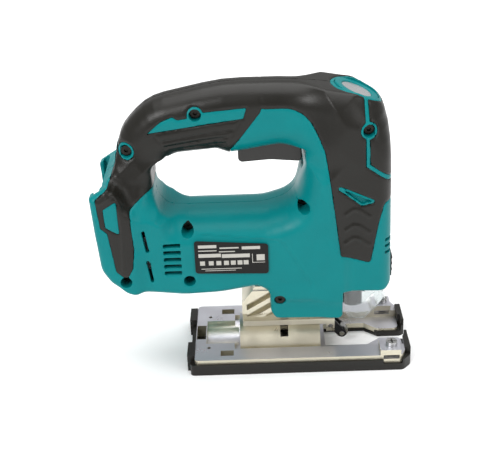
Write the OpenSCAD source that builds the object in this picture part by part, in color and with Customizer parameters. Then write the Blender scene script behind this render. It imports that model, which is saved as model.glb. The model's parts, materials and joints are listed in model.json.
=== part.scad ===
// Cordless D-handle jigsaw: two clamshells, a gear housing with a scotch-yoke drive, and a tilting base.
// X runs forward to the blade end, Y to the left side, Z up. The base stands on z = 0.

/* [Housing] */
// Wall of the clamshells, soft grip included
wall = 4; // [3.6:0.1:4.4]
// Thickness of the soft grip
grip_t = 1.8; // [1:0.1:2.2]
// Half-width of the handle
handle_w = 17.5; // [17:0.1:18.5]
// Half-width of the head
head_w = 29; // [29:0.1:30]
// Half-width of the motor body
body_w = 32; // [32:0.1:33]
// Half-width of the battery mount
mount_w = 37; // [36:0.1:37.5]

/* [Drive] */
// Height of the motor axis
motor_z = 88; // [87.5:0.1:88.5]
// Gear module
gear_m = 0.8; // [0.8:0.01:0.81]
// Teeth on the motor pinion
pinion_teeth = 10; // [10:1:10]
// Teeth on the crank gear
crank_teeth = 50; // [50:1:50]
// Radius of the crank, half of the blade stroke
crank_r = 13; // [12:0.1:13]

/* [Base] */
// Height of the tilt axis above the sole
tilt_z = 4; // [4:0.1:4]
// Outer radius of the tilt barrel
barrel_r = 20; // [19.5:0.1:20]
// Half-width of the base casting
base_w = 36.4; // [36:0.1:36.4]
// Place of the blade ahead of the origin
blade_x = 67; // [66.5:0.1:67]

/* [Hidden] */
$fn = 48;

teal = "#00878a";
soft_black = "#35342f";
black = "#1d1e1f";
casting = "#b9b7ab";
steel = "#9a9c9e";
gap = 0.3; // between parts that move past each other
slip = 0.05; // radial, in a running fit
stack = 24.2; // between the motor axis and the crank axis
crank_z = motor_z + stack;
gear_x = 47; // rear face of the crank gear
gear_t = 7;
shaft_r = 2.5;
bolt_x = 18.5; // base clamp bolt
pivot = [51.2, 19.2]; // x and z of the retainer pivot
roller = [59.7, 10]; // x and z of the guide roller

// Side outlines, anticlockwise, each vertex as [x, z, corner radius]
handle_line = [[-91, 151, 3], [-64, 146, 2], [-20, 155, 2], [60, 156, 2], [60, 199.5, 2], [34, 200, 40],
    [-18, 199.5, 60], [-66, 191, 34], [-86, 168, 30]];
column_line = [[-104, 128, 2], [-80, 106, 2], [-58, 106, 2], [-58, 140, 2], [-66, 148, 2], [-92, 148, 6]];
mount_line = [[-92, 66.2, 8], [-79, 64.6, 2], [-79, 128, 2], [-88, 147, 4], [-92, 146, 4], [-105, 135.5, 1.5],
    [-101.5, 76, 14]];
body_line = [[-82, 65.2, 3], [-56, 60, 24], [24, 62, 2], [60, 60, 2], [60, 118, 2], [-82, 118, 2]];
head_line = [[34, 58, 2], [88, 57, 4], [92, 61, 5], [92.4, 150, 40], [86.5, 187, 12], [66, 197.5, 24],
    [34, 200, 1]];
body_room_line = [[-86, 69, 3], [-58, 61, 12], [24, 62, 2], [60, 60, 2], [60, 113.2, 2], [-86, 113.2, 2]];
column_room_line = [[-100, 120, 2], [-69, 108, 2], [-67, 124, 4], [-68.5, 162, 2], [-86, 162, 4], [-96, 140, 6]];
web_line = [[10, 110, 1], [36, 110, 1], [36, 146, 1], [10, 146, 1]];
mount_room_line = [[-92.5, 82, 2], [-86, 73, 4], [-76, 72, 2], [-76, 124, 2], [-86, 143, 3], [-92.5, 138, 2]];
chin_line = [[9, 40, 3], [12, 38.3, 4], [56, 37.5, 4], [58, 40, 3], [58, 66, 1], [9, 66, 1]];
opening_line = [[-67, 149, 4], [-64, 122, 18], [-56, 113.5, 12], [6, 113.5, 24], [24, 118, 16], [34, 147, 14],
    [34.5, 156, 1], [22, 156.6, 8],
    [-15, 151.6, 1.5], [-24, 154.6, 3], [-52, 152, 6], [-60, 149, 3]];
front_grip_line = [[9, 189, 2], [34, 187, 10], [47, 164, 12], [52, 118, 8], [56.5, 86, 6], [76, 78, 4],
    [81, 108, 8], [88, 123, 2], [96, 124, 1], [96, 204, 1], [9, 204, 1]];
top_grip_line = [[-110, 130, 1], [-72, 130, 4], [-60, 142, 4], [-50, 158, 2], [-66, 170, 3], [-46, 181, 8],
    [-2, 186, 2], [10, 186, 1], [10, 204, 1], [-110, 204, 1]];
patch_grip_line = [[-62, 168, 2], [-53, 158, 2], [-12, 158, 2], [10, 186.5, 1], [-2, 186.5, 1], [-8, 177, 3]];
rear_grip_line = [[-92, 84, 4], [-84, 76, 2], [-79, 80, 2], [-79, 131, 1], [-100, 131, 1], [-98, 112, 3]];

screw_spots = [[73.8, 171.6, 21], [-34.9, 181.8, 10], [-80.4, 158.5, 11], [-43.5, 105.5, 14],
    [32.6, 119.5, 11], [-43.8, 71, 14], [-85.2, 74, 24]]; // x, z, and the depth of the head's seat from y = 0

// ---- outlines ----
function unit(v) = v / norm(v);
function flat(v) = [v[0], v[1]];
function before(p, i) = flat(p[(i - 1 + len(p)) % len(p)]);
function after(p, i) = flat(p[(i + 1) % len(p)]);
function heading(a, b) = unit(b - a);
function inward(d) = [-d[1], d[0]];

// Move every side of an outline inward by d, and tighten its corners by as much
function shrink(p, d) = [for (i = [0:len(p) - 1])
    let(b = flat(p[i]), m = inward(heading(before(p, i), b)), n = inward(heading(b, after(p, i))),
        q = b + d * (m + n) / (1 + m * n))
    [q[0], q[1], max(p[i][2] - d, 0.05)]];

// The points of one rounded corner
function corner(a, b, c, r, step = 10) =
    let(u = heading(a, b), v = heading(b, c), turn = atan2(u[0] * v[1] - u[1] * v[0], u * v),
        side = sign(turn), t = r * tan(abs(turn) / 2), n = max(1, ceil(abs(turn) / step)),
        start = b - u * t, mid = start + side * r * inward(u), arm = start - mid)
    r < 0.06 ? [b] : [for (k = [0:n]) let(w = turn * k / n)
        mid + [arm[0] * cos(w) - arm[1] * sin(w), arm[0] * sin(w) + arm[1] * cos(w)]];

function rounded(p) = [for (i = [0:len(p) - 1]) each corner(before(p, i), flat(p[i]), after(p, i), p[i][2])];

// An outline in the XZ plane, from y0 to y1 on the right side, or mirrored to the left
module slab(p, y0, y1) rotate([90, 0, 0]) translate([0, 0, y0]) linear_extrude(y1 - y0) polygon(rounded(p));

module rod_x(r, x0, x1, y = 0, z = 0) translate([x0, y, z]) rotate([0, 90, 0]) cylinder(r = r, h = x1 - x0);
module rod_y(r, y0, y1, x = 0, z = 0) translate([x, y1, z]) rotate([90, 0, 0]) cylinder(r = r, h = y1 - y0);
module rod_z(r, z0, z1, x = 0, y = 0) translate([x, y, z0]) cylinder(r = r, h = z1 - z0);
module block(lo, hi) translate(lo) cube(hi - lo);
module left_side() mirror([0, 1, 0]) children();

// ---- clamshells ----
// Both are cut from a stack of flat layers, each one an outline that narrows towards the side
layers = [0, 9, handle_w - wall, handle_w - grip_t, handle_w, 21, head_w - wall, head_w - grip_t, head_w,
    body_w, mount_w - grip_t, mount_w];

// Outline of a bulge at the distance y from the middle, chamfered by c at its half-width w
module bulge_at(p, w, c, y) if (y <= w) polygon(rounded(shrink(p, max(0.001, y - w + c))));

// The room inside it, a depth t below the surface
module room_at(p, w, c, y, t) if (y <= w - t) polygon(rounded(shrink(p, max(t, y - w + c + 1.414 * t))));

module outside_at(y) {
    bulge_at(handle_line, handle_w, 7, y);
    bulge_at(column_line, mount_w - grip_t, 14, y);
    bulge_at(mount_line, mount_w, 3, y);
    bulge_at(body_line, body_w, 8, y);
    bulge_at(head_line, head_w, 8, y);
    bulge_at(chin_line, head_w, 3, y);
    if (y <= 21) polygon(rounded(web_line));
}

module inside_at(y, t) {
    room_at(handle_line, handle_w, 7, y, t);
    room_at(column_room_line, mount_w - grip_t, 18, y, t);
    if (y <= mount_w - wall) polygon(rounded(shrink(mount_room_line, t - wall)));
    room_at(body_room_line, body_w, 8, y, t);
    room_at(head_line, head_w, 8, y, t);
}

module grip_zone() for (p = [front_grip_line, top_grip_line, patch_grip_line, rear_grip_line])
    polygon(rounded(p));

module shell_at(y) difference() {
    outside_at(y);
    inside_at(y, wall);
    difference() { grip_zone(); inside_at(y, grip_t); }
    polygon(rounded(opening_line));
}

module grip_at(y) difference() {
    intersection() { outside_at(y); grip_zone(); }
    inside_at(y, grip_t);
    polygon(rounded(opening_line));
}

// The trigger slot, the battery bay and the places where other pieces pass
module openings() {
    block([-9.6, -8.7, 140], [33.6, 1, 170]);
    block([-120, -26, 74], [-97, 1, 160]);
    block([-102, -30, 78], [-98, 1, 160]);
    block([-98, -15, 84], [-90, 1, 126]);
    block([-10.4, -25.3, 20], [54.4, 1, 58.4]);
    block([36.6, -24.3, 50], [54.4, 1, 76]);
    block([57.9, -11, 50], [92, 1, 71]);
    block([87.3, -18, 61], [96, 1, 81]);
    rod_z(1.25, 58.5, 82.5, 90, -15);
    for (z = [76, 81, 86, 91, 96]) block([-60, -40, z], [-48.5, -20, z + 3]);
    for (s = screw_spots) rod_y(3.6, -45, -s[2], s[0], s[1]);
    for (s = screw_spots) rod_y(2.05, -45, 1, s[0], s[1]);
    rod_y(3.6, -45, -26, 15.8, 53.7);
    rod_y(2.05, -45, 1, 15.8, 53.7);
}

module badge_place() translate([65.7, 0, 186.25]) rotate([0, 22, 0]) children();

module motor_seat(x0, x1, r, z0, z1, reach) difference() {
    block([x0, -reach, z0], [x1, 0, z1]);
    rod_x(r, x0 - 1, x1 + 1, 0, motor_z);
}

module screw_posts() for (s = screw_spots) rod_y(3.4, -s[2] - 0.5, 0, s[0], s[1]);

module layer(i) rotate([90, 0, 0]) translate([0, 0, layers[i]])
    linear_extrude(layers[i + 1] - layers[i]) offset(delta = -0.004) children();

module right_shell() difference() {
    union() {
        for (i = [0:len(layers) - 2]) layer(i) shell_at(layers[i + 1]);
        motor_seat(-34, -31, 21, 74, 103, 29);
        motor_seat(-12, -9, 21, 74, 103, 29);
        motor_seat(-50, -44, 8, 79, 97, 29);
        screw_posts();
    }
    openings();
    badge_place() cylinder(r = 15.3, h = 30);
}

module right_grip() difference() {
    for (i = [0:len(layers) - 2]) layer(i) grip_at(layers[i + 1]);
    openings();
    screw_posts();
    badge_place() cylinder(r = 15.3, h = 30);
}

module housing_right() color(teal) right_shell();

module housing_left() color(teal) difference() {
    left_side() right_shell();
    rod_y(4.75, 5, 25, 18, 172);
    rod_y(2.55, 20, 40, -69.5, 104);
    rod_y(3.05, 20, 40, 40, 50);
    rod_z(2.6, 50, 63, 82.5, 17.5);
}

module grip_right() color(soft_black) right_grip();

module grip_left() color(soft_black) difference() {
    left_side() right_grip();
    rod_y(4.75, 5, 25, 18, 172);
}

// Silver disc in a round teal frame, leaning forward on top of the head
module badge() color("silver") badge_place() {
    difference() {
        cylinder(r = 15, h = 7.5);
        translate([0, 0, 6.5]) cylinder(r = 10.6, h = 4);
        translate([0, 0, -1]) cylinder(r = 12.5, h = 5);
    }
    translate([0, 0, 6.5]) cylinder(r = 10.4, h = 1);
}

module rating_plate() color(black) slab([[-39.5, 77, 2], [8.7, 75.5, 2], [8.7, 97.5, 2], [-39.5, 101, 2]],
    body_w, body_w + 0.5);

module screw(x, z, y_seat, y_tip, head_r = 3.3) difference() {
    union() {
        rod_y(head_r, -y_seat - 3, -y_seat, x, z);
        rod_y(1.9, -y_seat, y_tip, x, z);
    }
    translate([x, -y_seat - 1.4, z]) rotate([90, 0, 0]) cylinder(r = 1.5, h = 3, $fn = 6);
}

module housing_screws() color(steel) {
    for (s = screw_spots) screw(s[0], s[1], s[2], 9);
    screw(15.8, 53.7, 26, -14);
}

// ---- gear housing ----
function saddle_line() = [[-10.3, 18], [-10.3, 25.6], [-25, 40.3], [-25, 58], [25, 58], [25, 40.3],
    [10.3, 25.6], [10.3, 18]];

module gear_housing() color(casting) difference() {
    union() {
        difference() {
            translate([-10, 0, 0]) rotate([90, 0, 90]) linear_extrude(64) polygon(saddle_line());
            slab([[-12, 46, 0.5], [6, 70, 0.5], [-12, 70, 0.5]], -27, 27);
            for (y = [-27, 19], z = [27, 35, 43]) slab([[-7, z, 0.5], [12, z + 11.5, 0.5], [12, z + 16, 0.5],
                [-7, z + 4.5, 0.5]], y, y + 8);
            block([14, -20, 42], [34, 20, 60]);
        }
        slab([[-3.4, 57, 0.3], [-0.8, 61, 0.3], [4, 61, 0.3], [8.8, 57.8, 0.3], [8.8, 57, 0.3]], -24, 24);
        block([37, -24, 57], [54, 24, 74]);
        block([38.6, -17.4, 74], [47, 17.4, 153]);
        block([37, -24, 74], [47, 24, 104]);
        block([46, -24, 71], [74, 24, 146]);
        rod_x(11, 30.5, 37, 0, motor_z);
        for (y = [-8.4, 5.2]) block([48.3, y, 14.5], [54, y + 3.2, 30]);
    }
    rod_x(barrel_r + gap, -20, 48.2, 0, tilt_z);
    block([48.2, -5.2, 10], [60, 5.2, 27.5]);
    block([40.8, -15.9, 78], [47, 15.9, 150.5]);
    block([46, -21.4, 76], [80, 21.4, 143]);
    rod_z(5.2, 60, 160, blade_x, 0);
    rod_x(8, 31.5, 37.5, 0, motor_z);
    rod_x(4, 30, 42, 0, motor_z);
    rod_x(4, 35, 50, 0, crank_z);
    rod_y(2, -12, 12, pivot[0], pivot[1]);
    rod_z(2.5, 10, 45, bolt_x, 0);
    rod_y(3.05, 6, 30, 40, 50);
    rod_y(1.9, -30, -12, 15.8, 53.7);
    for (y = [-22.7, 22.7], z = [80, 138]) rod_x(1, 66, 76, y, z);
}

module gear_housing_cover() color(casting) difference() {
    block([74, -24, 71], [76.5, 24, 146]);
    for (y = [-22.7, 22.7], z = [80, 138]) rod_x(1.05, 70, 80, y, z);
    rod_x(8, 70, 80, 0, 112);
}

module gear_housing_screws() color(steel) for (y = [-22.7, 22.7], z = [80, 138]) {
    rod_x(1, 66.5, 76.5, y, z);
    difference() {
        rod_x(1.3, 76.5, 78, y, z);
        block([77.3, y - 0.3, z - 2], [79, y + 0.3, z + 2]);
    }
}

module gear_spindle() color(steel) rod_x(4, 38.7, gear_x + gear_t + 1, 0, crank_z);

module slide_guides() color("#a98a4a") for (z = [[77, 88], [135, 143]]) difference() {
    block([60.5, -21.4, z[0]], [73.5, 21.4, z[1]]);
    rod_z(4.5 + slip, 60, 160, blade_x, 0);
}

module rod_seal() color("#c9c2b0") difference() {
    rod_z(6.9, 76, 77, blade_x, 0);
    rod_z(4.5 + slip, 60, 90, blade_x, 0);
}

// ---- motor ----
module stator_core() color("#6f7275") difference() {
    rod_x(21, -36, -6, 0, motor_z);
    rod_x(13.2, -40, 0, 0, motor_z);
    for (a = [0:60:300]) translate([0, 0, motor_z]) rotate([a, 0, 0]) block([-40, -2.5, 14.6], [0, 2.5, 19]);
}

module stator_coils() color("#a4572b") for (a = [0:60:300])
    translate([0, 0, motor_z]) rotate([a, 0, 0]) block([-40, -2.5, 14.6], [-2, 2.5, 19]);

module motor_bearings() color(steel) for (x = [-50, 31.5]) difference() {
    rod_x(8, x, x + 6, 0, motor_z);
    rod_x(shaft_r + slip, x - 1, x + 7, 0, motor_z);
    for (e = [x - 0.6, x + 5.4]) difference() {
        rod_x(6.6, e, e + 1.2, 0, motor_z);
        rod_x(4, e - 1, e + 2, 0, motor_z);
    }
}

module rotor_shaft() color(steel) rod_x(shaft_r, -51, gear_x + gear_t, 0, motor_z);

module rotor_magnets() color("#4b4d52") difference() {
    rod_x(12.6, -35, -7, 0, motor_z);
    rod_x(shaft_r, -40, 0, 0, motor_z);
}

module cooling_fan() color(black) difference() {
    union() {
        rod_x(19, 2, 3.5, 0, motor_z);
        rod_x(6, 2, 12, 0, motor_z);
        for (a = [0:30:330]) translate([0, 0, motor_z]) rotate([a, 0, 0]) block([3, -0.6, 5], [11, 0.6, 18.6]);
    }
    rod_x(shaft_r, 0, 20, 0, motor_z);
}

// ---- gears ----
// Tooth flanks are involutes of the base circle, thinned by the play
function roll_at(rb, r) = r <= rb ? 0 : sqrt(pow(r / rb, 2) - 1);
function lean_at(rb, r) = let(t = roll_at(rb, r)) t * 180 / PI - atan(t);
function flank(z, m, play, k) =
    let(rp = z * m / 2, rb = rp * cos(20), r = rp + k, half = 90 / z - play / rp * 90 / PI)
    [r, half + lean_at(rb, rp) - lean_at(rb, r)];
function polar(r, a) = [r * cos(a), r * sin(a)];
function gear_outline(z, m, play) = [for (i = [0:z - 1]) each
    let(a = i * 360 / z, ks = [-1.15 * m, -0.45 * m, 0.2 * m, 0.85 * m],
        f = [for (k = ks) flank(z, m, play, k)])
    concat([for (j = [0:3]) polar(f[j][0], a - f[j][1])], [for (j = [3:-1:0]) polar(f[j][0], a + f[j][1])])];

module gear_disc(z, turn, h) rotate([90, 0, 90]) rotate([0, 0, turn]) linear_extrude(h)
    polygon(gear_outline(z, gear_m, 0.22));

module pinion() color(steel) difference() {
    translate([gear_x - 0.5, 0, motor_z]) gear_disc(pinion_teeth, 90, gear_t);
    rod_x(shaft_r, 40, 60, 0, motor_z);
}

module crank_gear() color("#7e7f82") difference() {
    union() {
        translate([gear_x, 0, crank_z]) gear_disc(crank_teeth, 0, gear_t);
        rod_x(6.5, gear_x - 1.5, gear_x + gear_t + 0.5, 0, crank_z);
    }
    rod_x(4 + slip, 40, 60, 0, crank_z);
    rod_x(3, gear_x - 2, 60, crank_r, crank_z);
    rod_x(2, gear_x - 2, 60, -crank_r, crank_z);
}

module crank_pins() color(steel) {
    rod_x(3, gear_x + 0.2, 60.9, crank_r, crank_z);
    rod_x(2, gear_x - 1.8, gear_x + gear_t, -crank_r, crank_z);
}

// Yoke and rod in one, with the slot across for the crank pin
module slider() color(steel) difference() {
    union() {
        rod_z(4.5, 50, 154, blade_x, 0);
        block([61.4, -19.5, 105.2], [67, 19.5, 119.2]);
    }
    block([58, -16.4, crank_z - 3.1], [63.9, 16.4, crank_z + 3.1]);
    rod_z(2.6, 40, 62, blade_x, 0);
}

module balance_plate() color("#84868a") difference() {
    block([41.4, -15.5, 94], [44.4, 15.5, 136]);
    block([41, -4.6, 90], [46, 4.6, 131]);
}

// ---- blade clamp ----
module clamp_holder() color("#5c5e60") difference() {
    union() { rod_z(5, 33, 50, blade_x, 0); rod_z(2.6, 50, 61, blade_x, 0); }
    block([blade_x - 4.2, -0.8, 30], [blade_x + 4.2, 0.8, 47]);
}

module clamp_sleeve() color("#2c2d2e") difference() {
    union() {
        rod_z(6.9, 34, 49, blade_x, 0);
        block([blade_x + 5.8, -1.6, 42], [blade_x + 9, 1.6, 48]);
    }
    rod_z(5 + slip, 30, 52, blade_x, 0);
    block([blade_x - 8, -1.1, 30], [blade_x + 5.5, 1.1, 39]);
}

// ---- controls ----
module trigger() color(soft_black) difference() {
    slab([[-9, 145, 3], [12, 146.4, 20], [33, 144.4, 3], [32.6, 150, 1], [32, 162, 1], [-9, 162, 1]], -8.2, 8.2);
    block([-6, -6, 152], [29, 6, 165]);
}

// A closed tube along a path, with flat ends
function side_of(t) = unit(cross(t, abs(t[2]) < 0.8 ? [0, 0, 1] : [1, 0, 0]));
module tube_along(path, r, n = 8) {
    last = len(path) - 1;
    rings = [for (i = [0:last]) let(t = unit(path[min(i + 1, last)] - path[max(i - 1, 0)]), s = side_of(t),
        u = cross(s, t)) each [for (k = [0:n - 1]) path[i] + r * (cos(360 * k / n) * s + sin(360 * k / n) * u)]];
    sides = [for (i = [0:last - 1], k = [0:n - 1]) each
        let(a = i * n + k, b = i * n + (k + 1) % n) [[a, a + n, b + n], [a, b + n, b]]];
    polyhedron(rings, concat([[for (k = [0:n - 1]) k]], [[for (k = [n - 1:-1:0]) last * n + k]], sides));
}

module trigger_spring() color(steel) translate([12, 0, 152.2])
    tube_along([for (i = [0:72]) [3 * cos(i * 30), 3 * sin(i * 30), 0.6 + i * 16.6 / 72]], 0.45, 8);

module switch_body() color("#2a2b2d") union() {
    block([-28, -9, 170.4], [16, 9, 188]);
    block([-20, -5, 188], [8, 5, 191.5]);
}

module lock_off_button() color(soft_black) {
    rod_y(4.65, 12.5, 19.5, 18, 172);
    rod_y(5.6, 12.2, 13, 18, 172);
}

module speed_dial() color(soft_black) difference() {
    union() {
        rod_y(7.5, 32.4, 36.5, -69.5, 104);
        rod_y(2.5, 25, 33, -69.5, 104);
    }
    for (a = [0:24:336]) translate([-69.5, 0, 104]) rotate([0, a, 0]) rod_y(0.7, 33.5, 37, 7.7, 0);
}

module orbit_lever() color(soft_black) difference() {
    union() {
        rod_y(6.5, 29.4, 34, 40, 50);
        translate([40, 0, 50]) rotate([0, 50, 0]) hull() {
            rod_y(4.5, 30, 33.5, 0, 0);
            rod_y(2.6, 30, 33, 0, -14);
        }
    }
    rod_y(2, 26, 32, 40, 50);
}

module orbit_shaft() color(steel) difference() {
    union() { rod_y(3, 8, 29.4, 40, 50); rod_y(2, 29.4, 32, 40, 50); }
    block([36, 8, 50.8], [44, 14, 54]);
}

module tool_opener() color(soft_black) difference() {
    union() {
        block([89.2, -17, 62.4], [91.8, 15, 78.6]);
        rod_z(2.4, 62.4, 78.6, 90, 15);
        for (z = [66, 70.5, 75]) block([91.8, -15, z - 0.7], [92.5, -4, z + 0.7]);
    }
    rod_z(1.25 + slip, 60, 82, 90, 15);
}

module opener_pin() color(steel) rod_z(1.25, 59, 82, 90, 15);

// ---- electrics ----
module controller() color("#8d9194") difference() {
    block([-82.4, -22, 76], [-66, 22, 100]);
    for (y = [-18:6:18]) block([-68, y - 1.5, 78], [-65, y + 1.5, 98]);
}

module terminal_block() color("#2a2b2d") block([-97.8, -14.6, 84.4], [-90.4, 14.6, 125.6]);

module terminal_blades() color("#c9a64a") for (y = [-9, 0, 9]) block([-103, y - 0.5, 92], [-97.8, y + 0.5, 116]);

module led_lens() color("#e9eef0") rod_z(2.6, 56.5, 63.2, 82.5, 17.5);

module led_board() color("#3d7a46") block([79, 14, 63.3], [86, 20.8, 64.7]);

module lead_wires() color("#b23b2e") {
    for (y = [-9, -3, 3]) tube_along([[-66, y, 96], [-63, y, 96], [-60, y, 98], [-56, y, 100.5],
        [-48, y, 101.2], [-41, y, 101.2]], 0.9, 8);
    tube_along([[-78, 4, 100], [-78, 4, 117], [-75.5, 3, 134], [-75, 2, 152], [-70, 1, 166],
        [-58, 0, 174], [-44, 0, 176.4], [-28, 0, 176.4]], 1.1, 8);
    tube_along([[-90.4, -6, 92], [-88, -6, 92], [-82.4, -6, 92]], 1.1, 8);
}

// ---- dust cover, retainer and roller ----
module dust_cover() color("#dfe6e8", 0.4) difference() {
    slab([[60.7, 32, 2], [64, 26, 1], [74, 25.3, 2], [88.7, 40, 3], [88.7, 58, 1], [60.7, 58, 1]], -10.4, 10.4);
    slab([[50, 20, 1], [73.3, 20, 1], [87.2, 40.4, 2], [87.2, 70, 1], [50, 70, 1]], -9.2, 9.2);
}

module roller_retainer() color("#3a3b3d") difference() {
    union() {
        for (y = [-5, 2.9]) hull() {
            rod_y(3.4, y, y + 2.1, pivot[0], pivot[1]);
            rod_y(3, y, y + 2.1, roller[0], roller[1]);
        }
        block([49.5, -5, 19.5], [53, 5, 22.4]);
    }
    rod_y(2 + slip, -10, 10, pivot[0], pivot[1]);
    rod_y(1.8, -10, 10, roller[0], roller[1]);
}

module retainer_pin() color(steel) rod_y(2, -8.4, 8.4, pivot[0], pivot[1]);
module roller_pin() color(steel) rod_y(1.8, -5.6, 5.6, roller[0], roller[1]);

module guide_roller() color(steel) difference() {
    rod_y(4.4, -2.6, 2.6, roller[0], roller[1]);
    rod_y(1.8 + slip, -5, 5, roller[0], roller[1]);
    block([roller[0] + 3.6, -0.7, 0], [roller[0] + 6, 0.7, 20]);
}

// ---- base ----
base_line = [[-44, -base_w, 3], [98, -base_w, 3], [101, -30, 4], [101, -6, 4], [86, -6, 2], [77, -14, 2],
    [47, -14, 1.5], [47, 14, 1.5], [77, 14, 2], [86, 6, 2], [101, 6, 4], [101, 30, 4], [98, base_w, 3],
    [-44, base_w, 3]];
cover_line = [[-47, -38, 3], [99, -38, 5], [105, -31, 6], [105, -5, 4], [86, -5, 2], [77, -13, 2],
    [46.2, -13, 1.5], [46.2, 13, 1.5], [77, 13, 2], [86, 5, 2], [105, 5, 4], [105, 31, 6], [99, 38, 5],
    [-47, 38, 3]];

module base_plate() color(casting) difference() {
    union() {
        translate([0, 0, 2.05]) linear_extrude(8.95) polygon(rounded(base_line));
        intersection() {
            rod_x(barrel_r, -12.5, 43.5, 0, tilt_z);
            block([-20, -30, 2.05], [60, 30, 40]);
        }
        for (s = [-1, 1]) block([83.5, s * 29.45 - 6.95, 10], [97.5, s * 29.45 + 6.95, 15]);
    }
    difference() {
        union() {
            block([47, -22.5, 6], [110, 22.5, 20]);
            block([-16.5, -22.5, 8], [60, 22.5, 12]);
            block([-43.5, -9, 2], [-37, 9, 20]);
        }
        rod_x(barrel_r, -12.5, 43.5, 0, tilt_z);
    }
    rod_x(20.5, -36.5, -13.5, 0, 25);
    rod_x(barrel_r - 3, -9.5, 41, 0, tilt_z);
    block([-9.5, -17, 0], [41, 17, 4.1]);
    intersection() {
        block([bolt_x - 2.8, -30, 0], [bolt_x + 2.8, 30, 40]);
        translate([0, 0, tilt_z]) rotate([0, 90, 0]) rotate([0, 0, 180 - 54]) translate([0, 0, -10])
            rotate_extrude(angle = 108) square([40, 80]);
    }
    for (s = [-1, 1]) {
        block([85.5, s * 29.5 - 8, 8], [96.5, s * 29.5 + 8, 11]);
        rod_z(2.45, 7, 20, 91.7, s * 29);
        rod_z(1.25, 0, 20, -34.4, s * 20.5);
        block([-26.2, s * 27.75 - 3.25, 0], [-17.1, s * 27.75 + 3.25, 20]);
        block([-40, s * 30.5 - 3, 0], [-30, s * 30.5 + 3, 7]);
        block([-12, s * 29 - 4.5, 0], [78, s * 29 + 4.5, 7.5]);
    }
}

module shoe_cover() color(black) difference() {
    union() {
        linear_extrude(8) polygon(rounded(cover_line));
        for (s = [-1, 1]) block([101.2, s * 18 - 11, 0], [105, s * 18 + 11, 12.5]);
        for (s = [-1, 1]) block([-49.2, s * 23 - 8.5, 0], [-44.2, s * 23 + 8.5, 12.5]);
    }
    translate([0, 0, 2]) linear_extrude(20) polygon(rounded(shrink(base_line, -0.2)));
    for (s = [-1, 1]) block([85.5, s * 37 - 2, 5], [98.5, s * 37 + 2, 20]);
    block([40, -14.3, 2], [84, 14.3, 20]);
    block([76, -14.3, 4], [103, 14.3, 20]);
    block([-9.5, -17, -1], [41, 17, 3]);
    for (s = [-1, 1]) block([-26.2, s * 27.75 - 3.25, -1], [-17.1, s * 27.75 + 3.25, 3]);
    for (s = [-1, 1]) rod_z(1.6, -1, 3, -34.4, s * 20.5);
}

module base_clamp_bolt() color(steel) {
    rod_z(2.5, 16, 44, bolt_x, 0);
    translate([bolt_x, 0, 11.5]) cylinder(r = 4.6, h = 4.5, $fn = 6);
}

module clamp_washer() color(steel) difference() {
    intersection() {
        rod_x(barrel_r - 3.1, bolt_x - 7, bolt_x + 7, 0, tilt_z);
        block([0, -8, 16], [40, 8, 40]);
    }
    rod_z(2.5, 0, 50, bolt_x, 0);
}

module fence_screws() color(steel) for (s = [-1, 1]) difference() {
    union() { rod_z(2.45, 8.5, 15, 91.7, s * 29); rod_z(3.9, 15, 18, 91.7, s * 29); }
    translate([91.7, s * 29, 16.6]) cube([6, 1, 3], center = true);
    translate([91.7, s * 29, 16.6]) cube([1, 6, 3], center = true);
}

housing_right();
housing_left();
grip_right();
grip_left();
badge();
rating_plate();
housing_screws();
gear_housing();
gear_housing_cover();
gear_housing_screws();
gear_spindle();
slide_guides();
rod_seal();
stator_core();
stator_coils();
motor_bearings();
controller();
switch_body();
trigger_spring();
terminal_block();
terminal_blades();
led_lens();
led_board();
lead_wires();
base_clamp_bolt();
clamp_washer();
opener_pin();
trigger();
lock_off_button();
speed_dial();
orbit_lever();
orbit_shaft();
tool_opener();
dust_cover();
slider();
clamp_holder();
clamp_sleeve();
balance_plate();
crank_gear();
crank_pins();
rotor_shaft();
rotor_magnets();
pinion();
cooling_fan();
roller_retainer();
retainer_pin();
roller_pin();
guide_roller();
base_plate();
shoe_cover();
fence_screws();
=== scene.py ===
# %% [markdown]
# # A cordless D-handle jigsaw
# The saw is two moulded half shells with soft rubber grips over a gear housing, on a tilting base.
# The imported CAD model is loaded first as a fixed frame, and every visible piece is then made or
# finished around it. Lengths in this lesson are in millimetres until they go into a mesh.

# %% The frame
import json
from functools import reduce
import bmesh
import bpy
import numpy as np
from mathutils import Matrix

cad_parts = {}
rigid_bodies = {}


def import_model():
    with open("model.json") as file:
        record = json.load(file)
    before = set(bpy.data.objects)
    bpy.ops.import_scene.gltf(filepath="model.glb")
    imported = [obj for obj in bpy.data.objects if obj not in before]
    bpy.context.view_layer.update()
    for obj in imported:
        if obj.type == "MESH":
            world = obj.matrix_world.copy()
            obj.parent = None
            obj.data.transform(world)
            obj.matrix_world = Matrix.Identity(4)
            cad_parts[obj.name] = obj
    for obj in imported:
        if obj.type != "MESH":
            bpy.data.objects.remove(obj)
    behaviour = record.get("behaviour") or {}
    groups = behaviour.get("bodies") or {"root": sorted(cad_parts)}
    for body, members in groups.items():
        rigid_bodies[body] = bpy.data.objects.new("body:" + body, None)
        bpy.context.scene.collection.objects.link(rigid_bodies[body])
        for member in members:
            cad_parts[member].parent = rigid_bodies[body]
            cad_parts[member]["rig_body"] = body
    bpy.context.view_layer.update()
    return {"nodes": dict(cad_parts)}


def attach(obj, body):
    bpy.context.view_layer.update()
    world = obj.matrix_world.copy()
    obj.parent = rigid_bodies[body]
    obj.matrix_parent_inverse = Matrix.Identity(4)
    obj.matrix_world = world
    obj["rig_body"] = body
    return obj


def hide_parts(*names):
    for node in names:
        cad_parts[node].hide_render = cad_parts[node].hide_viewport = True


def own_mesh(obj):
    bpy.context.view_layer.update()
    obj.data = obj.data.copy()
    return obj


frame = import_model()
NODES = frame["nodes"]
BODY_OF = {n: o["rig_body"] for n, o in NODES.items()}
MM = 0.001

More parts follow.
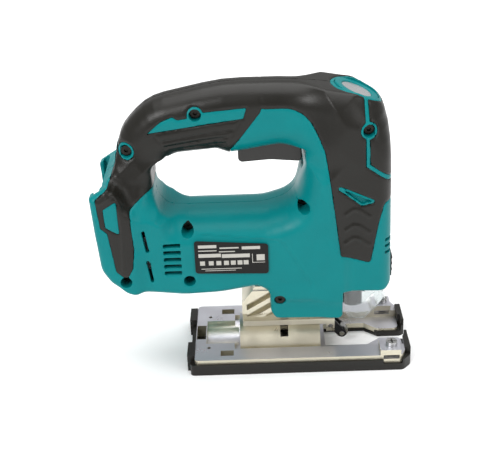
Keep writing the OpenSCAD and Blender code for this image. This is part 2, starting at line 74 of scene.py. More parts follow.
# %% [markdown]
# ## The camera
# The saw is seen from its right side and a little above, with a long lens that keeps its sides
# nearly parallel. The camera's axes are worked out from three angles and set as a matrix.

# %% Camera
YAW, PITCH, ROLL = -0.011, 0.458, -0.037
EYE = np.array([4.07, -633.25, 407.73])


def camera_axes(yaw, pitch, roll):
    """Right, up and backward directions of a camera that looks along +Y, turned, tipped down and rolled."""
    ahead = np.array([np.sin(yaw) * np.cos(pitch), np.cos(yaw) * np.cos(pitch), -np.sin(pitch)])
    level = np.array([np.cos(yaw), -np.sin(yaw), 0.0])
    over = np.cross(level, ahead)
    right = np.cos(roll) * level + np.sin(roll) * over
    up = -np.sin(roll) * level + np.cos(roll) * over
    return right, up, -ahead


pose = np.eye(4)
pose[:3, 0], pose[:3, 1], pose[:3, 2] = camera_axes(YAW, PITCH, ROLL)
pose[:3, 3] = EYE * MM
lens = bpy.data.cameras.new("camera")
lens.lens, lens.sensor_width = 74.8, 36.0
lens.clip_start = 0.01
camera = bpy.data.objects.new("camera", lens)
camera.matrix_world = Matrix(pose.tolist())
bpy.context.scene.collection.objects.link(camera)
bpy.context.scene.camera = camera

# %% [markdown]
# ## Finishes
# Each finish starts from what the real one is. A moulding has a fine spark-eroded grain from its
# tool, a casting has a bead-blasted skin, and turned steel has fine rings. One helper adds a shader
# node with its settings and links, and one function lays a grain and a slow drift of tone on the
# surface, both in Object coordinates so that they stay on the piece. The grain is drawn about five
# times as coarse as a real spark-eroded one, which is too fine to show at this size.

# %% Shader helpers
def linear(hex_colour):
    """An sRGB hex colour as the linear RGBA that a shader takes."""
    c = np.array([int(hex_colour[i:i + 2], 16) for i in (1, 3, 5)]) / 255
    return (*np.where(c <= 0.04045, c / 12.92, ((c + 0.055) / 1.055) ** 2.4), 1.0)


def add(tree, kind, inputs=None, **settings):
    """Adds a node, sets its properties, and sets or links its inputs."""
    n = tree.nodes.new(kind)
    for k, v in settings.items():
        setattr(n, k, v)
    for k, v in (inputs or {}).items():
        if isinstance(v, bpy.types.NodeSocket):
            tree.links.new(v, n.inputs[k])
        else:
            n.inputs[k].default_value = v
    return n


FINISH = {}


def finish(name, light, dark, rough, spread=0.06, metal=0.0, grain=0.5, depth=0.15, drift=18.0,
           stretch=(1, 1, 1), level=None, **shader):
    """A finish whose colour drifts from dark to light over patches of `drift` mm, whose roughness
    follows the same drift, and whose surface has a grain of `grain` mm, longer along one axis when
    stretch is uneven. Faces that lie level take the colour `level`, a paler tone painted on them as
    the highlight that the light from above gives them."""
    material = bpy.data.materials.new(name)
    material.use_nodes = True
    tree = material.node_tree
    tree.nodes.clear()
    coordinates = add(tree, "ShaderNodeTexCoord").outputs
    place, facing = coordinates["Object"], coordinates["Normal"]
    run = add(tree, "ShaderNodeMapping", {"Vector": place, "Scale": stretch}).outputs["Vector"]
    slow = add(tree, "ShaderNodeTexNoise", {"Vector": place, "Scale": 1000 / drift, "Detail": 3.0})
    fine = add(tree, "ShaderNodeTexNoise", {"Vector": run, "Scale": 1000 / grain, "Detail": 2.0})
    tone = add(tree, "ShaderNodeMix", {"Factor": slow.outputs["Fac"]}, data_type="RGBA")
    tone.inputs["A"].default_value = linear(dark)
    tone.inputs["B"].default_value = linear(light)
    gloss = add(tree, "ShaderNodeMapRange", {"Value": slow.outputs["Fac"], "From Min": 0.3,
                "From Max": 0.7, "To Min": rough - spread, "To Max": rough + spread})
    bump = add(tree, "ShaderNodeBump", {"Height": fine.outputs["Fac"], "Strength": depth,
               "Distance": grain * MM})
    colour = tone.outputs["Result"]
    # Upward faces are mixed to the level colour: a painted highlight standing for the light from above.
    if level:
        up = add(tree, "ShaderNodeSeparateXYZ", {"Vector": facing}).outputs["Z"]
        painted_top_highlight = add(tree, "ShaderNodeMapRange", {"Value": up, "From Min": 0.9, "From Max": 0.99})
        top = add(tree, "ShaderNodeMix", {"Factor": painted_top_highlight.outputs["Result"]}, data_type="RGBA")
        tree.links.new(colour, top.inputs["A"])
        top.inputs["B"].default_value = linear(level)
        colour = top.outputs["Result"]
    surface = add(tree, "ShaderNodeBsdfPrincipled", {"Base Color": colour,
                  "Roughness": gloss.outputs["Result"], "Normal": bump.outputs["Normal"],
                  "Metallic": metal, **shader})
    add(tree, "ShaderNodeOutputMaterial", {"Surface": surface.outputs["BSDF"]})
    FINISH[name] = material
    return material


# %% [markdown]
# ### Plastics and rubber
# The shells are glass-filled nylon, spark-eroded to a satin, so they show soft wide highlights.
# The grips are a thermoplastic elastomer moulded over them: darker, rougher, with a dusty bloom.

# %% Plastics
teal_nylon = finish("teal_nylon_moulded", "#007c7e", "#007174", 0.33, 0.04, grain=0.7, depth=0.10,
                    **{"IOR": 1.53, "Specular IOR Level": 0.13})
grip_rubber = finish("elastomer_overmould", "#1c1a16", "#151410", 0.34, 0.05, grain=0.6, depth=0.14,
                     **{"IOR": 1.50, "Specular IOR Level": 0.30})
black_nylon = finish("black_nylon_moulded", "#131211", "#0d0d0c", 0.40, 0.06, grain=0.6, depth=0.12,
                     **{"IOR": 1.53, "Specular IOR Level": 0.2})
shoe_rubber = finish("shoe_polyamide", "#1f1d19", "#171613", 0.40, 0.08, grain=0.5, depth=0.18,
                     **{"IOR": 1.53, "Specular IOR Level": 0.3})
trigger_acetal = finish("trigger_acetal", "#1f1d1a", "#181715", 0.36, 0.05, grain=0.6, depth=0.08,
                        **{"IOR": 1.48})
clear_cover = finish("polycarbonate_clear", "#f4f8f8", "#eef3f3", 0.07, 0.03, grain=2.0, depth=0.05,
                     **{"IOR": 1.585, "Transmission Weight": 0.95})
clear_lens = finish("acrylic_lens", "#ffffff", "#f4f6ff", 0.10, 0.03, grain=1.0, depth=0.05,
                    **{"IOR": 1.49, "Transmission Weight": 0.7})
print(len(FINISH), "plastics")

# %% [markdown]
# ### Metals and electrics
# The base and gear housing are die-cast alloy, tumbled to a warm satin. Screws are blackened, rods
# and pins are ground bright, and the clamp is steam-blackened.

# %% Metals
# The level colour is a paler tone painted on the casting's upward faces as the highlight from above.
cast_alloy = finish("die_cast_alloy", "#dcd6c2", "#c6bfab", 0.34, 0.08, metal=0.85, grain=0.8,
                    depth=0.16, drift=14.0, level="#cfcfd6")
bright_steel = finish("ground_steel", "#c4c4c2", "#a9a9a8", 0.24, 0.06, metal=1.0, grain=0.25,
                      depth=0.08, stretch=(1, 1, 0.1))
black_steel = finish("blackened_steel", "#4a4a4c", "#2f2f31", 0.40, 0.08, metal=1.0, grain=0.4,
                     depth=0.15)
screw_steel = finish("phosphated_screw_steel", "#34332f", "#201f1d", 0.34, 0.08, metal=0.9,
                     grain=0.4, depth=0.15)
bronze = finish("sintered_bronze", "#a8874a", "#8d6f3c", 0.42, 0.08, metal=1.0, grain=0.4, depth=0.2)
felt = finish("wool_felt", "#c9c1ad", "#b1a993", 0.9, 0.04, grain=0.9, depth=0.6)
copper = finish("enamelled_copper", "#a95a2c", "#8b4520", 0.35, 0.08, metal=0.8, grain=1.0, depth=0.3,
                stretch=(0.1, 1, 1))
laminated = finish("laminated_steel", "#7b7d80", "#5f6164", 0.45, 0.08, metal=1.0, grain=1.2,
                   depth=0.35, stretch=(1, 0.02, 0.02))
potting = finish("potting_resin", "#8f9599", "#7c8286", 0.55, 0.05, grain=1.0, depth=0.1)
board = finish("fibreglass_board", "#3f7d4b", "#32683d", 0.40, 0.05, grain=0.8, depth=0.15)
contact = finish("gilded_contact", "#cda850", "#b38f3c", 0.30, 0.05, metal=1.0, grain=0.5, depth=0.08)
wire_cover = finish("vinyl_wire_cover", "#b33a2c", "#9c2f23", 0.40, 0.05, grain=1.0, depth=0.08)
silver_badge = finish("brushed_badge_silver", "#e6e7e8", "#cfd1d4", 0.25, 0.05, metal=0.9,
                      grain=0.3, depth=0.08, stretch=(0.1, 1, 1))
print(len(FINISH), "finishes")

# %% [markdown]
# ## Outlines and distances
# A moulding like this is drawn as side outlines with rounded corners, and its surface swells
# outwards between them. It is made here as a field of distances: at every point of a fine grid the
# field says how far the surface is, negative inside. Bulges, cuts and soft joins are then plain
# arithmetic on whole arrays, and the surface is read off where the field crosses nought.

# %% Rounded outlines
def rounded(corners, step=0.2):
    """Points of a closed outline [x, z, radius], with each corner as a tangent arc."""
    c = np.array(corners, float)
    out = []
    for a, b, d, r in zip(np.roll(c[:, :2], 1, 0), c[:, :2], np.roll(c[:, :2], -1, 0), c[:, 2]):
        u, v = (b - a) / np.hypot(*(b - a)), (d - b) / np.hypot(*(d - b))
        turn = np.arctan2(u[0] * v[1] - u[1] * v[0], u @ v)
        t = r * np.tan(abs(turn) / 2)
        n = max(1, int(np.ceil(abs(turn) / step)))
        w = np.linspace(0, 1, n + 1)[:, None]
        start, side = b - u * t, np.sign(turn) * np.array([-u[1], u[0]])
        mid = start + r * side
        arm, k = start - mid, w * turn
        out.append(mid + np.cos(k) * arm + np.sin(k) * np.array([-arm[1], arm[0]]))
    return np.concatenate(out)


def outline_distance(points, x, z):
    """Distance from each (x, z) to a closed outline, negative inside."""
    p = np.asarray(points, float)
    a, e = p[:, None, None, :], (np.roll(p, -1, 0) - p)[:, None, None, :]
    px, pz = x[None] - a[..., 0], z[None] - a[..., 1]
    t = np.clip((px * e[..., 0] + pz * e[..., 1]) / np.maximum((e ** 2).sum(-1), 1e-12), 0, 1)
    d = np.sqrt((px - t * e[..., 0]) ** 2 + (pz - t * e[..., 1]) ** 2).min(0)
    up = (pz >= 0) != (pz >= e[..., 1])
    hit = up & (px < e[..., 0] * pz / np.where(e[..., 1] == 0, 1e-9, e[..., 1]))
    return np.where(hit.sum(0) % 2 == 1, -d, d)


def line_distance(path, x, z):
    """Distance from each (x, z) to an open path of points."""
    p = np.asarray(path, float)
    a, e = p[:-1, None, None, :], (p[1:] - p[:-1])[:, None, None, :]
    px, pz = x[None] - a[..., 0], z[None] - a[..., 1]
    t = np.clip((px * e[..., 0] + pz * e[..., 1]) / (e ** 2).sum(-1), 0, 1)
    return np.sqrt((px - t * e[..., 0]) ** 2 + (pz - t * e[..., 1]) ** 2).min(0)


def blend_min(a, b, k):
    """The smaller of two fields, with a fillet of about k mm where they meet."""
    h = np.maximum(k - np.abs(a - b), 0) / k
    return np.minimum(a, b) - h * h * k / 4


def blend_max(a, b, k):
    """The larger of two fields, with a round edge of about k mm where they meet."""
    return -blend_min(-a, -b, k)


# %% [markdown]
# ## From a field to a surface
# The usual marching-cubes surface rounds off every edge, and the line where rubber meets nylon has
# to be crisp. Dual contouring puts one vertex in each grid cell where the planes of the nearby
# surface meet, so that an edge between two fields stays an edge.

# %% Dual contouring
def contour(fields, origin, cell):
    """Surface where the largest of the fields is nought. Each cell's vertex is the least-squares
    meeting point of the planes through its edge crossings. Returns vertices and quads."""
    stack = np.stack([np.broadcast_to(f, fields[0].shape) for f in fields]).astype(np.float32)
    total = stack.max(0)
    shape = np.array(total.shape)
    slopes = [np.stack(np.gradient(f), -1) for f in stack]
    ata, atb = np.zeros((shape.prod(), 3, 3), np.float32), np.zeros((shape.prod(), 3), np.float32)
    mass, count = np.zeros((shape.prod(), 3), np.float32), np.zeros(shape.prod(), np.float32)
    faces = []
    for axis in range(3):
        step = np.zeros(3, int)
        step[axis] = 1
        lo = total[tuple(slice(0, -1) if i == axis else slice(None) for i in range(3))]
        hi = total[tuple(slice(1, None) if i == axis else slice(None) for i in range(3))]
        at = np.argwhere((lo < 0) != (hi < 0))
        others = [i for i in range(3) if i != axis]
        at = at[(at[:, others] > 0).all(1)]
        a, b = total[tuple(at.T)], total[tuple((at + step).T)]
        t = a / (a - b)
        point = at + t[:, None] * step
        outer = np.where((b > 0)[:, None], at + step, at)
        owner = stack[:, outer[:, 0], outer[:, 1], outer[:, 2]].argmax(0)
        normal = np.zeros((len(at), 3), np.float32)
        for k, slope in enumerate(slopes):
            m = owner == k
            near, far = slope[tuple(at[m].T)], slope[tuple((at[m] + step).T)]
            normal[m] = near + t[m, None] * (far - near)
        normal /= np.maximum(np.linalg.norm(normal, axis=1, keepdims=True), 1e-9)
        ring = []
        for i, j in ((-1, -1), (0, -1), (0, 0), (-1, 0)):
            home = at.copy()
            home[:, others[0]] += i
            home[:, others[1]] += j
            index = np.ravel_multi_index(tuple(home.T), total.shape)
            ring.append(index)
            local = point - home
            np.add.at(ata, index, normal[:, :, None] * normal[:, None, :])
            np.add.at(atb, index, normal * (normal * local).sum(1, keepdims=True))
            np.add.at(mass, index, local)
            np.add.at(count, index, 1)
        quad = np.stack(ring, 1)
        flip = (b > 0) if axis != 1 else (b < 0)
        faces.append(np.where(flip[:, None], quad, quad[:, ::-1]))
    faces = np.concatenate(faces)
    used, faces = np.unique(faces, return_inverse=True)
    faces = faces.reshape(-1, 4)
    mid = mass[used] / count[used, None]
    pull = 0.06 * count[used, None, None] * np.eye(3, dtype=np.float32)
    rest = atb[used] - np.einsum("nij,nj->ni", ata[used], mid)
    spot = mid + np.linalg.solve(ata[used] + pull, rest[..., None])[..., 0]
    spot = np.clip(spot, 0.0, 1.0) + np.stack(np.unravel_index(used, total.shape), 1)
    return origin + spot * cell, faces


def mesh_object(name, vertices, faces, material, crease=40.0):
    """A new object from arrays in mm, smooth apart from creases sharper than the angle given."""
    mesh = bpy.data.meshes.new(name)
    mesh.from_pydata((vertices * MM).tolist(), [], faces.tolist())
    mesh.polygons.foreach_set("use_smooth", np.ones(len(faces), bool))
    mesh.set_sharp_from_angle(angle=np.radians(crease))
    mesh.materials.append(material)
    piece = bpy.data.objects.new(name, mesh)
    bpy.context.scene.collection.objects.link(piece)
    return piece


# %% [markdown]
# ## The shells and the grips
# The outline is drawn once for the whole saw. Six bulges share it: the slim handle, the rear column
# that widens down, the battery mount, the motor body, the head and the chin that holds the gear
# housing. Each bulge is an extrusion of its part of the outline with a round edge.

# %% Outlines of the housing
SIDE = [[-105, 134, 1.5], [-103.5, 110, 60], [-101.3, 82, 16], [-95, 72, 14], [-84, 65, 16],
        [-70, 60.2, 30], [-48, 57.8, 30], [-24, 58.8, 60], [1, 62.6, 8], [9.2, 58, 5], [9, 44, 6],
        [13, 38.4, 4], [56.4, 37.6, 3], [58, 40, 3], [58, 58, 0.6], [86, 57.4, 4], [91, 61, 5],
        [90.4, 100, 120], [89.8, 140, 200], [88.8, 172, 60], [84.6, 184.6, 14], [68, 192.6, 24],
        [46, 196.6, 60], [22, 199, 80], [-18, 199.2, 120], [-66.4, 189, 36], [-86.8, 168.4, 34],
        [-89, 150, 26], [-91.5, 142.5, 8]]
OPENING = [[-65.8, 148, 7], [-64, 121.5, 17], [-56, 113.5, 12], [6, 113.6, 26], [26, 119.5, 18],
           [34, 146, 14], [34.5, 156.6, 1], [20, 156.8, 20], [-14.5, 151.4, 2],
           [-23, 154.6, 4], [-50, 152.4, 20]]
DEEP = 20.0  # the chin and head bulges run on below their floors, which are cut flat
HANDLE = [[-120, 140, 1], [-62, 140, 1], [-20, 150, 1], [66, 150, 1], [66, 210, 1], [-120, 210, 1]]
COLUMN = [[-120, 104, 1], [-58, 104, 8], [-54, 118, 8], [-58, 150, 8], [-120, 150, 1]]
MOUNT = [[-120, 60, 1], [-80, 60, 1], [-80, 120, 8], [-86, 134, 8], [-93, 141, 3], [-96, 150, 1],
         [-120, 150, 1]]
BODY = [[-86, 50, 1], [60, 50, 1], [60, 150, 1], [20, 150, 1], [16, 120, 1], [-86, 120, 1]]
HEAD = [[35, DEEP, 1], [120, DEEP, 1], [120, 210, 1], [50, 210, 1], [36, 158, 10], [35, 150, 1]]
CHIN = [[9, DEEP, 1], [58, DEEP, 1], [58, 66, 1], [9, 66, 1]]

# %% [markdown]
# The rubber is moulded in four zones a side: over the head, over the handle's back, a ribbed patch
# for the fingers and a strip down the battery mount. Their edges are crisp lines, so each is drawn as
# an outline of its own. Thin teal piping, a triangle and a window are left bare inside them.

# %% Outlines of the rubber
FRONT_RUBBER = [[6, 184.6, 3], [34, 184.6, 22], [46.5, 160, 40], [51.5, 124, 60], [56.5, 85.5, 2],
                [65, 82.5, 4], [76, 79, 2], [81, 108, 30], [84.5, 122, 4], [100, 124, 1],
                [100, 210, 1], [6, 210, 1]]
TOP_RUBBER = [[-110, 173, 1], [-84.6, 171, 3], [-87, 157, 12], [-89.4, 145, 8], [-92.5, 140, 4],
              [-99, 134.4, 1], [-79, 128, 1], [-71, 130, 2],
              [-60, 137, 4], [-57, 150, 6], [-52, 158, 2], [-66, 170.5, 1], [-57, 178, 4],
              [-49.5, 181, 1], [-46, 179, 1], [-40, 180, 2], [-34, 183.2, 2], [-1.5, 185.8, 1],
              [7, 183.4, 1], [7, 210, 1], [-110, 210, 1]]
PATCH_RUBBER = [[-66, 170.5, 1], [-54, 150, 1], [-14, 150, 1], [-13.5, 157, 1], [6.5, 182.8, 3],
                [7, 190, 1], [-1, 190, 1], [-4.5, 178.6, 1], [-28, 175.5, 30]]
REAR_RUBBER = [[-88.4, 150, 4], [-92, 140.4, 6], [-100.4, 133.8, 2], [-98.6, 114, 1], [-94.5, 110, 1],
               [-91, 82, 3], [-84.5, 76, 2], [-80, 84, 3], [-78.5, 97, 3], [-79.5, 124, 2],
               [-71, 130, 4], [-62, 134, 4], [-58, 142, 4], [-70, 156, 2]]
REAR_WINDOW = [[-96, 127, 1], [-87.2, 132.5, 1], [-86.6, 109, 1], [-95.4, 114.5, 1]]
PIPING_LINE = [[72.5, 192], [73.6, 148.5], [88, 138], [97, 136.5]]
TRIANGLE = [[53, 135.2, 0.4], [78, 123.6, 0.4], [70, 121.6, 0.4]]
PATCH = [[-62, 169.6, 1], [-53.6, 157, 1], [-17, 160, 1], [-6.5, 177.6, 1], [-28, 175.4, 30]]
CREASE = [[-40, 104.2], [16, 99.4], [21, 93.4], [37.5, 64.5], [38, 0]]

# Each screw's x and z, and how far its head's seat is from the parting plane.
SCREWS = [(73.8, 171.6, 21.0), (-34.9, 181.8, 10.0), (-80.4, 158.5, 11.0), (-43.5, 105.5, 14.0),
          (32.6, 119.5, 11.0), (-43.8, 71.0, 14.0), (-85.2, 74.0, 24.0), (15.8, 53.7, 26.0)]
VENT_ROWS = [76, 81, 86, 91, 96]

# %% [markdown]
# Only the right half is worked out, because the two shells mirror each other apart from the holes for
# the controls on the left. The grid reaches a little past the half on every side, so that the
# surface closes inside it.

# %% The grid
CELL = 1.0
LOW, HIGH = np.array([-107.3, -38.9, 36.0]), np.array([94.5, 1.2, 202.0])
COUNT = np.ceil((HIGH - LOW) / CELL).astype(int)
gx, gy, gz = (LOW[i] + CELL * np.arange(COUNT[i]) for i in range(3))
x, y, z = gx[:, None, None], gy[None, :, None], gz[None, None, :]
flat_x, flat_z = np.meshgrid(gx, gz, indexing="ij")


def side(corners, grow=0.0):
    """Distance to a rounded outline in the XZ plane, ready to combine with y."""
    return (outline_distance(rounded(corners), flat_x, flat_z) - grow)[:, None, :]


def trace(path, width):
    """Distance to a band of the given width along a path in the XZ plane."""
    return (line_distance(path, flat_x, flat_z) - width / 2)[:, None, :]


def bulge(area, half, r, k=1.0):
    """An extrusion of an area with half-width `half`, its edge an ellipse r high and k*r deep."""
    q1, q2 = area + r, (np.abs(y) - (half - k * r)) / k
    return np.minimum(np.maximum(q1, q2), 0) + np.hypot(np.maximum(q1, 0), np.maximum(q2, 0)) - r


print("grid", COUNT, "cells of", CELL, "mm")

# %% [markdown]
# The half-widths and edge rounds change along the saw: the column is slim at the handle and wide at
# the mount, the body is rounder at its top, and the head is rounder at its crown. Each change is an
# S-curve between two values, so that no band or step shows in the highlights.

# %% The outer surface
HANDLE_HALF, HANDLE_ROUND = 17.5, 14.5
HEAD_HALF, BODY_HALF, MOUNT_HALF, CHIN_HALF = 29.0, 32.0, 36.6, 28.6


def smooth_step(t):
    """Nought below 0, one above 1, and an S between."""
    t = np.clip(t, 0, 1)
    return t * t * (3 - 2 * t)


def part_bulge(area, half, r, k=1.0):
    """The bulge of one area of the saw, within the outline and outside the hand opening."""
    return bulge(np.maximum(side(area), hull), half, r, k)


silhouette = np.maximum(side(SIDE), -side(OPENING))
no_floor = SIDE[:10] + [[9, DEEP, 1], [92, DEEP, 1]] + SIDE[17:]
hull = np.maximum(side(no_floor), -side(OPENING))
column_half = 18.0 + 13.5 * smooth_step((151 - z) / 44)
column_round = 11.0 + 4.0 * smooth_step((140 - z) / 25)
body_half = BODY_HALF + (MOUNT_HALF - BODY_HALF) * smooth_step((-66 - x) / 18)
body_round = 7.0 + 12.0 * smooth_step((z - 78) / 22)
head_side = 10.0 + 7.0 * smooth_step((68 - x) / 20)
head_round = head_side + (23.0 - head_side) * smooth_step((z - 150) / 34)
badge_spot = np.array([65.7, 183.8])
lean = np.radians(23)
along = (x - badge_spot[0]) * np.cos(lean) - (z - badge_spot[1]) * np.sin(lean)
above = (x - badge_spot[0]) * np.sin(lean) + (z - badge_spot[1]) * np.cos(lean)
badge_pad = reduce(np.maximum, [np.hypot(along, y) - 17.2, above - 7.0, -14 - above])
form = part_bulge(HANDLE, HANDLE_HALF, HANDLE_ROUND, 1.1)
form = blend_min(form, part_bulge(HEAD, HEAD_HALF, head_round, 1.2), 22)
form = blend_min(form, part_bulge(BODY, body_half, body_round, 1.58), 8)
form = blend_min(form, part_bulge(COLUMN, column_half, column_round, 1.3), 15)
form = blend_min(form, badge_pad, 5)
form = blend_min(form, part_bulge(MOUNT, MOUNT_HALF, 5.0), 9)
form = blend_min(form, part_bulge(CHIN, CHIN_HALF, 3.5), 4)
form = blend_max(form, silhouette, 1.2)
form = blend_max(form, np.abs(y) - (body_half + 0.15), 1.0)

# %% [markdown]
# The zone field is negative where rubber lies. Piping, triangle, window and screw rings are taken out
# of it with the same arithmetic, and so is a collar of nylon round the badge.

# %% The rubber zone
SCREW_RING = 5.3
badge_well = np.maximum(np.hypot(along, y) - 15.2, -above)
rubber = reduce(np.minimum, [side(p) for p in (FRONT_RUBBER, TOP_RUBBER, PATCH_RUBBER, REAR_RUBBER)])
rubber = np.maximum(rubber, -side(REAR_WINDOW))
rubber = np.maximum(rubber, -trace(PIPING_LINE, 2.6))
rubber = np.maximum(rubber, -side(TRIANGLE, 0.9))
rubber = np.maximum(rubber, -np.maximum(np.hypot(along, y) - 17.6, -5 - above))
for sx, sz, _ in SCREWS[:3]:
    rubber = np.maximum(rubber, -(np.hypot(x - sx, z - sz) - SCREW_RING))

# %% [markdown]
# Raised and sunken lines give the hand its hold. Each is a small bell-shaped change in height along a
# line, added to the form: ribs under the fingers, three chevrons on the head, a seam round each rubber
# zone and the long crease where the motor body meets the chin.

# %% Ribs, grooves and ridges
RIB_DROPS = (4.2, 8.6, 12.6)
CHEVRON_TOPS = (118.5, 107.2, 98.0)


def groove(distance, deep, width):
    """A rounded groove of a depth and width along a line whose distance is given."""
    return deep * np.exp(-((distance / (width / 2)) ** 2))


patch = side(PATCH)
relief = groove(rubber, 0.35, 1.3)
relief = relief + groove(patch, 0.5, 1.3) * (z > 158.4)
for drop in RIB_DROPS:
    rib = line_distance([[-64, 167.6 - drop], [-34, 172.6 - drop], [-4, 176.2 - drop]], flat_x, flat_z)
    relief = relief + groove(rib[:, None, :], 0.8, 1.8) * smooth_step(-patch / 1.2)
for top in CHEVRON_TOPS:
    bend = [[59.5, top - 3.6], [64.5, top], [68, top - 0.6], [75, top - 5.6]]
    relief = relief - groove(trace(bend, 0), 0.7, 2.2)
fade = smooth_step((x + 44) / 12) * smooth_step((z - 60) / 8) * (x < 38)
crease_x, crease_z = np.array(CREASE).T
below = np.interp(gx, crease_x, crease_z)[:, None, None] - z
relief = relief + 0.5 * smooth_step(below / 0.8 + 0.5) * fade
relief = relief + groove(trace([[-43.6, 108], [-43.8, 121]], 0), 0.35, 0.9)
relief = relief + groove(trace([[-98, 131.5], [-88.5, 137.2], [-85.2, 130], [-84.6, 112], [-86, 84]], 0),
                         -0.7, 2.6)
skin = form + relief

# %% [markdown]
# The openings are cut square through the finished form, as slides and cores in the mould cut them:
# the trigger's slot, the battery's way in, the seat of the gear housing, the room for the dust cover
# and the blade lever, the screw bores and the cooling slots.

# %% Cuts
def box_cut(lo, hi):
    """Distance to a box with sharp edges."""
    return reduce(np.maximum, [lo[0] - x, x - hi[0], lo[1] - y, y - hi[1], lo[2] - z, z - hi[2]])


def bore_y(cx, cz, r, y0, y1):
    """Distance to a cylinder along Y."""
    return reduce(np.maximum, [np.hypot(x - cx, z - cz) - r, y0 - y, y - y1])


BORE_R = 3.9
SLANT_SLOTS = ([[-72, 108.6], [-70.2, 94.6]], [[-70.4, 86.4], [-68.4, 72.4]])
NOSE_SLOTS = (84.5, 89.2, 93.9)
trigger_slot = [box_cut((-9.6, -8.7, 140), (33.6, 2, 170))]
battery_way = [box_cut((-120, -26, 74), (-97, 2, 160)), box_cut((-102, -30, 78), (-98, 2, 160)),
               box_cut((-98, -15, 84), (-90, 2, 126))]
casting_seat = [box_cut((-10.4, -25.3, 20), (54.4, 2, 58.4)), box_cut((36.6, -24.3, 50), (54.4, 2, 76))]
nose_room = [box_cut((57.9, -11, 50), (92, 2, 71)), box_cut((87.3, -18, 61), (96, 2, 81))]
cuts = trigger_slot + battery_way + casting_seat + nose_room + [badge_well]
cuts += [bore_y(sx, sz, BORE_R, -60, -seat) for sx, sz, seat in SCREWS]
cuts += [box_cut((-60, -50, row), (-48.5, -20, row + 2.8)) for row in VENT_ROWS]
cuts += [box_cut((85.5, -50, row), (97, -14, row + 1.9)) for row in NOSE_SLOTS]
cuts += [np.maximum(trace(line, 2.2), y + 20) for line in SLANT_SLOTS]
cuts += [np.maximum(side(TRIANGLE, -0.5), -2.4 - form)]
cut = reduce(np.minimum, [np.broadcast_to(c, form.shape) for c in cuts])
# On the left: the lock-off button, the speed dial and the orbital lever.
left_holes = [bore_y(18, 172, 4.75, -30, -5), bore_y(-69.5, 104, 2.6, -45, -20),
              bore_y(40, 50, 3.1, -45, -20)]
left_cut = reduce(np.minimum, [cut] + left_holes)

# %% [markdown]
# The rubber lies in a shallow bed in the nylon, flush with it, and the nylon is a shell 3.4 mm
# thick in all. Under each screw's seat a wide boss narrows to a slender post, which leaves room for the
# rod beside it. The half is closed at the parting plane, which shows as a fine line over the saw.

# %% The four mouldings
GRIP_T, WALL, HAIR_GAP = 1.8, 3.4, 0.06
BOSS_R, POST_R, SEAT_T = 6.4, 3.4, 2
bed = np.minimum(HAIR_GAP - rubber, skin + GRIP_T - 0.05)
bosses = reduce(np.minimum, [np.maximum(np.hypot(x - sx, z - sz) - BOSS_R, y + seat - SEAT_T)
                             for sx, sz, seat in SCREWS])
posts = reduce(np.minimum, [np.hypot(x - sx, z - sz) - POST_R for sx, sz, _ in SCREWS])
hollow = -reduce(np.maximum, [form + WALL, -92.5 - x, -bosses, -posts])
parting = np.broadcast_to(y + HAIR_GAP, form.shape)
grip_under = -(skin + GRIP_T)


def half(name, node, fields, body, slot, material, mirror):
    """Contours a half, mirrors it if it is the left one, and puts it in its node's place."""
    v, f = contour(fields, LOW, CELL)
    if mirror:
        v, f = v * np.array([1, -1, 1]), f[:, ::-1]
    piece = mesh_object(name, v, f, material)
    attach(piece, body)
    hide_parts(node)
    print(name, len(v), "vertices")
    return piece


for label, mirror, holes in (("right", False, cut), ("left", True, left_cut)):
    half("shell_" + label, "housing_" + label, [skin, bed, hollow, -holes, parting],
         "tool_body", "teal_plastic", teal_nylon, mirror)
    half("rubber_" + label, "grip_" + label, [skin, rubber + HAIR_GAP, grip_under, -holes, parting],
         "tool_body", "soft_grip", grip_rubber, mirror)

# %% [markdown]
# ## Small mouldings and machined pieces
# The real ones have broken edges, and an edge that catches light is most of what the eye reads. A
# copy of the CAD piece is merged into one skin, and a Bevel modifier rounds its edges.


def edged(node, material, radius=0.4, segments=2):
    """A merged copy of a CAD node, flat faces joined, with rounded edges."""
    bm = bmesh.new()
    bm.from_mesh(NODES[node].data)
    bmesh.ops.remove_doubles(bm, verts=bm.verts, dist=2e-6)
    bmesh.ops.dissolve_limit(bm, angle_limit=np.radians(1.5), verts=bm.verts, edges=bm.edges)
    mesh = bpy.data.meshes.new(node + "_piece")
    bm.to_mesh(mesh)
    bm.free()
    mesh.polygons.foreach_set("use_smooth", np.ones(len(mesh.polygons), bool))
    mesh.set_sharp_from_angle(angle=np.radians(38))
    mesh.materials.append(material)
    piece = bpy.data.objects.new(node + "_piece", mesh)
    bpy.context.scene.collection.objects.link(piece)
    rim = piece.modifiers.new("rim", "BEVEL")
    rim.limit_method, rim.angle_limit = "ANGLE", np.radians(32)
    rim.width, rim.segments = radius * MM, segments
    rim.use_clamp_overlap, rim.harden_normals = True, True
    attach(piece, BODY_OF[node])
    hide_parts(node)
    return piece


EDGED = {"trigger": (trigger_acetal, 1.4), "base_plate": (cast_alloy, 0.5),
         "shoe_cover": (shoe_rubber, 0.9), "gear_housing": (cast_alloy, 0.4),
         "tool_opener": (black_nylon, 0.5), "roller_retainer": (black_steel, 0.3),
         "guide_roller": (bright_steel, 0.25), "clamp_sleeve": (black_steel, 0.3),
         "clamp_holder": (bright_steel, 0.2), "housing_screws": (screw_steel, 0.3),
         "fence_screws": (bright_steel, 0.3), "speed_dial": (black_nylon, 0.3),
         "orbit_lever": (black_nylon, 0.6), "lock_off_button": (black_nylon, 0.6),
         "rating_plate": (black_nylon, 0.15),
         "retainer_pin": (bright_steel, 0.2), "roller_pin": (bright_steel, 0.2),
         "base_clamp_bolt": (black_steel, 0.3), "terminal_block": (black_nylon, 0.4),
         "terminal_blades": (contact, 0.15), "switch_body": (black_nylon, 0.4)}
for node, (material, radius) in EDGED.items():
    edged(node, material, radius)
print(len(EDGED), "edged pieces")

# %% [markdown]
# The trigger's return spring stands between the trigger and the switch. Its piece is an edged copy
# of the CAD spring with a mesh of its own.

# %% Trigger spring
spring = edged("trigger_spring", bright_steel, 0.05)
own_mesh(spring)

